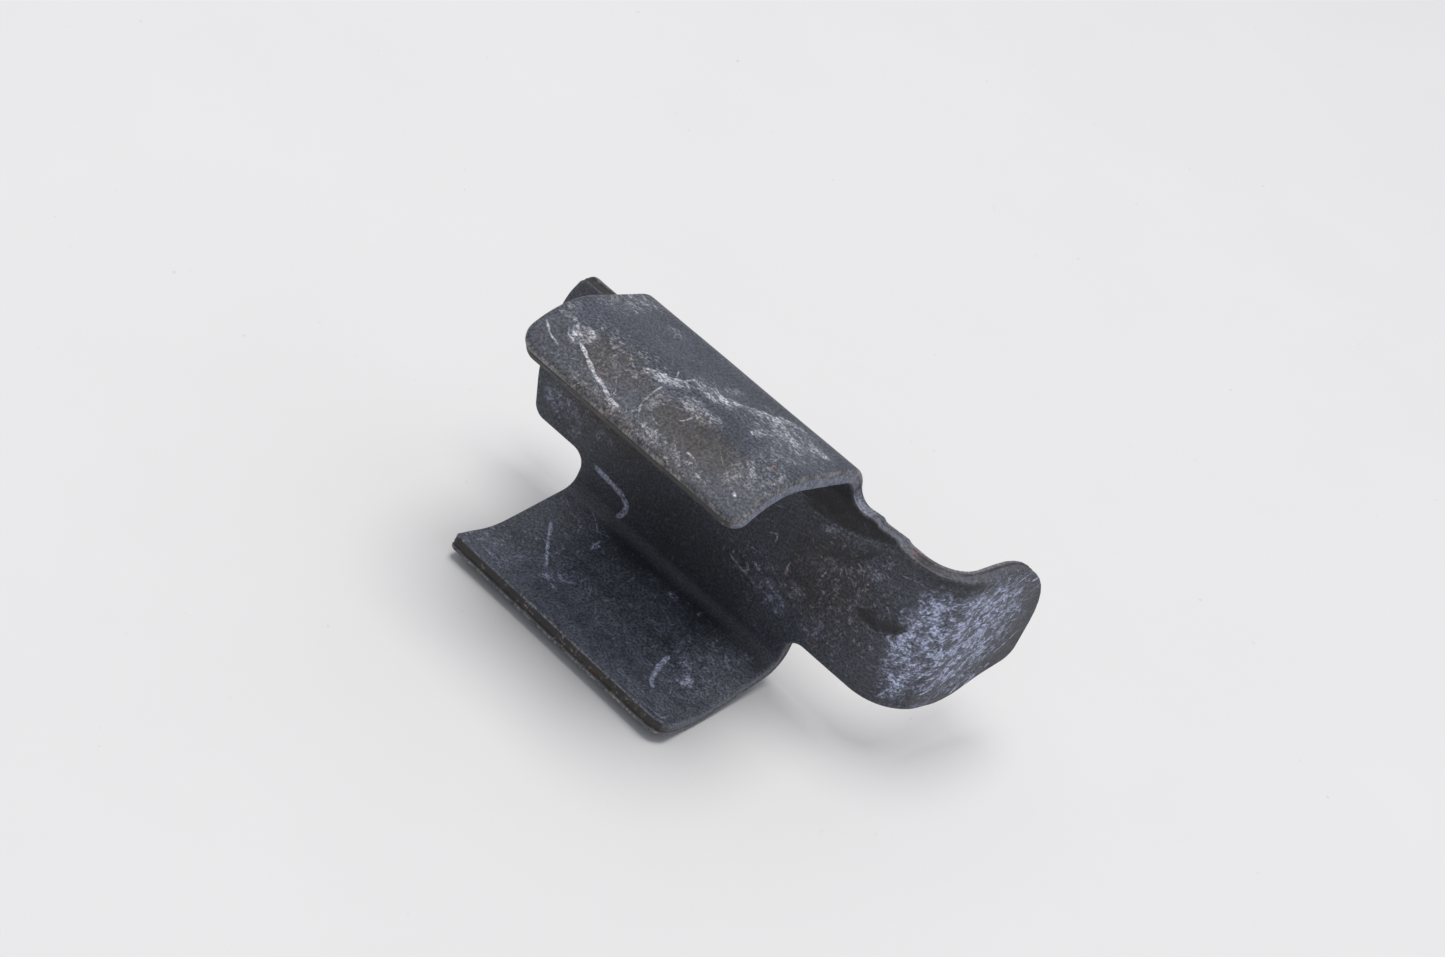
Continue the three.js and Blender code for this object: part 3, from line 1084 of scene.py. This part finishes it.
def shearedWall(name, finish):
    material, tree, shader = newMaterial(name)
    sheet = sheetPlace(tree)
    across = fromMesh(tree, "across")
    solid = solidPlace(tree)
    speck = grain(tree, solid, *wallGrains["speck"]).outputs[0]
    mottle = grain(tree, solid, *wallGrains["mottle"]).outputs[0]
    loose = wander(tree, sheet, *wanders["wall"])

    patches = spread(tree, mottle, *wallRanges["coat"])
    coat = mixColour(tree, patches, solidColour(finish["dark"]), solidColour(finish["light"]))
    # chalk on the walls facing right and up, partly painted light from that side
    chalkAndLight = marks(tree, loose, finish["chalkAndLitAreas"], wallShares["chalkCore"])
    chalkAndLightSpecks = calc(tree, "MULTIPLY", chalkAndLight, spread(tree, speck, *wallRanges["chalk"]))
    coat = mixColour(tree, chalkAndLightSpecks, coat, solidColour(finish["chalk"]))
    fleck = spread(tree, mottle, *wallRanges["fleckPatch"])
    fleck = calc(tree, "MULTIPLY", fleck, spread(tree, speck, *wallRanges["fleckPoint"]))
    fleck = calc(tree, "MULTIPLY", fleck, finish["flecks"])
    coat = mixColour(tree, fleck, coat, solidColour(finish["fleck"]))
    line = tearMark(tree, across, mottle, chalkAndLight)
    coat = mixColour(tree, line, coat, solidColour(finish["deep"]))
    rubbed = rubbedCorners(tree, across, mottle, finish)
    coat = mixColour(tree, rubbed, coat, solidColour(finish["worn"]))
    rust = marks(tree, loose, finish["rust"], wallShares["rustCore"])
    rust = calc(tree, "MULTIPLY", rust, spread(tree, speck, *wallRanges["rust"]))
    coat = mixColour(tree, rust, coat, solidColour(finish["rustColour"]))
    feed(tree, shader.inputs["Base Color"], coat)
    feed(tree, shader.inputs["Roughness"], spread(tree, mottle, *wallRanges["roughness"]))

    points = calc(tree, "MULTIPLY", speck, wallShares["speckHeight"])
    swells = calc(tree, "MULTIPLY", mottle, wallShares["mottleHeight"])
    height = calc(tree, "ADD", points, swells)
    bump = addNode(tree, "Bump")
    bump.inputs["Distance"].default_value = finish["bump"] * mm
    feed(tree, bump.inputs["Height"], height)
    feed(tree, shader.inputs["Normal"], bump.outputs[0])
    return material


wallFinish = {
    "dark": (0.018, 0.016, 0.015),
    "light": (0.038, 0.033, 0.030),
    # the colour of the painted shade in the tear step
    "deep": (0.008, 0.007, 0.007),
    "fleck": (0.38, 0.35, 0.31),
    "flecks": 0.65,
    # the bluish colour of that chalk and painted light
    "chalk": (0.29, 0.32, 0.41),
    "rustColour": (0.28, 0.11, 0.04),
    "worn": (0.20, 0.20, 0.21),
    "edgeWear": 0.4,
    "bump": 0.03,
    # the walls facing right and up are painted pale and bluish: partly chalk, partly painted light from that
    # side
    "chalkAndLitAreas": [
        (8.1, 13.0, 0.9, 8.6, 0, 1.0),
        (8.6, 5.2, 1.2, 1.2, 0, 0.9),
        (11.0, 5.1, 2.6, 0.6, 0, 0.45),
        (17.5, 5.0, 4.5, 0.8, 0, 0.3),
        (8.5, -12, 0.7, 7.0, 0, 0.55),
    ],
    "rust": [
        (12.8, 5.0, 0.35, 0.3, 0, 0.35),
        (-2.0, 19.2, 0.5, 0.3, 0, 0.2),
        (3.0, -18.0, 0.6, 0.3, 0, 0.15),
    ],
}

backSkin = steelSkin("backSkin", backFinish)
frontSkin = steelSkin("frontSkin", frontFinish)
shearedEdge = shearedWall("shearedEdge", wallFinish)
skins = [backSkin, frontSkin, shearedEdge]
print("finishes mixed")

sheet = layOutSheet()
body = makePiece("clip_body", sheet, inBody, skins)
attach(body, "frame")
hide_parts("web", "left_ear", "right_tab")

upper = makePiece("upper_jaw_sheet", sheet, inUpperJaw, skins)
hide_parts("upper_jaw")
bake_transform(upper, "frame", "upper_jaw", start=(0, -0.0005, 0.0050), end=(0, -0.0005, 0.0070))

lower = makePiece("lower_jaw_sheet", sheet, inLowerJaw, skins)
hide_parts("lower_jaw")
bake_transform(lower, "frame", "lower_jaw", start=(0, -0.0005, -0.0062), end=(0, -0.0005, -0.0076))
sheet.free()
print("sheet folded")

# stage, light and camera
cameraView = {
    "azimuth": 26.258,
    "elevation": 35.269,
    "roll": 24.8,
    "distance": 0.153738,
    "aim": (-0.000043, -0.000137, -0.000146),
    "lens": 66.72,
    "sensor": 36.0,
    "near": 0.005,
    "far": 20,
}


def placeCamera(settings):
    data = bpy.data.cameras.new("camera")
    data.lens = settings["lens"]
    data.sensor_width = settings["sensor"]
    data.clip_start = settings["near"]
    data.clip_end = settings["far"]
    camera = bpy.data.objects.new("camera", data)
    bpy.context.collection.objects.link(camera)
    turn, tilt = math.radians(settings["azimuth"]), math.radians(settings["elevation"])
    back = Vector((math.sin(turn) * math.cos(tilt), -math.cos(turn) * math.cos(tilt), math.sin(tilt)))
    camera.location = Vector(settings["aim"]) + back * settings["distance"]
    facing = (-back).to_track_quat("-Z", "Y").to_matrix()
    lean = Matrix.Rotation(math.radians(settings["roll"]), 3, back)
    camera.rotation_euler = (lean @ facing).to_euler()
    bpy.context.scene.camera = camera


placeCamera(cameraView)

studio = {
    "floorHalf": 1.5,
    "floorColour": (0.80, 0.80, 0.80),
    "floorRoughness": 0.85,
    "floorShine": 0.2,
    "cloudGrain": (0.05, 5, 0.6),
    "cloudRange": (0.3, 0.7, 0.985, 1.0),
    "dotGrain": (1.1, 2, 0.5),
    "dotRange": (0.74, 0.80, 1.0, 0.86),
    "skyColour": (0.90, 0.925, 1.0),
    "skyStrength": 0.47,
    "lampColour": (1.0, 0.965, 0.935),
    "lampPower": 2.55,
    "lampSize": 0.40,
    "lampPlace": (0.0, 0.0, 0.60),
}


def paleFloor():
    material, tree, shader = newMaterial("paleFloor")
    solid = solidPlace(tree)
    faint = spread(tree, grain(tree, solid, *studio["cloudGrain"]).outputs[0], *studio["cloudRange"])
    dots = spread(tree, grain(tree, solid, *studio["dotGrain"]).outputs[0], *studio["dotRange"])
    shade = calcVector(tree, "MULTIPLY", studio["floorColour"], calc(tree, "MULTIPLY", faint, dots))
    feed(tree, shader.inputs["Base Color"], shade)
    shader.inputs["Roughness"].default_value = studio["floorRoughness"]
    shader.inputs["Specular IOR Level"].default_value = studio["floorShine"]
    return material


def layFloor():
    mesh = bpy.data.meshes.new("floor")
    bm = bmesh.new()
    bmesh.ops.create_grid(bm, x_segments=1, y_segments=1, size=studio["floorHalf"])
    bm.to_mesh(mesh)
    bm.free()
    floor = bpy.data.objects.new("floor", mesh)
    bpy.context.collection.objects.link(floor)
    floor.location.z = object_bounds()[0].z
    mesh.materials.append(paleFloor())


def hangLamp():
    data = bpy.data.lights.new("softLamp", "AREA")
    data.shape = "DISK"
    data.size = studio["lampSize"]
    data.energy = studio["lampPower"]
    data.color = studio["lampColour"]
    lamp = bpy.data.objects.new("softLamp", data)
    bpy.context.collection.objects.link(lamp)
    lamp.location = studio["lampPlace"]
    lamp.rotation_euler = Vector(studio["lampPlace"]).to_track_quat("Z", "Y").to_euler()


def lightSky():
    world = bpy.data.worlds.new("world")
    bpy.context.scene.world = world
    world.use_nodes = True
    sky = world.node_tree.nodes["Background"]
    sky.inputs["Color"].default_value = (*studio["skyColour"], 1)
    sky.inputs["Strength"].default_value = studio["skyStrength"]


layFloor()
hangLamp()
lightSky()
bpy.context.scene.view_settings.view_transform = "Standard"
print("stage set")
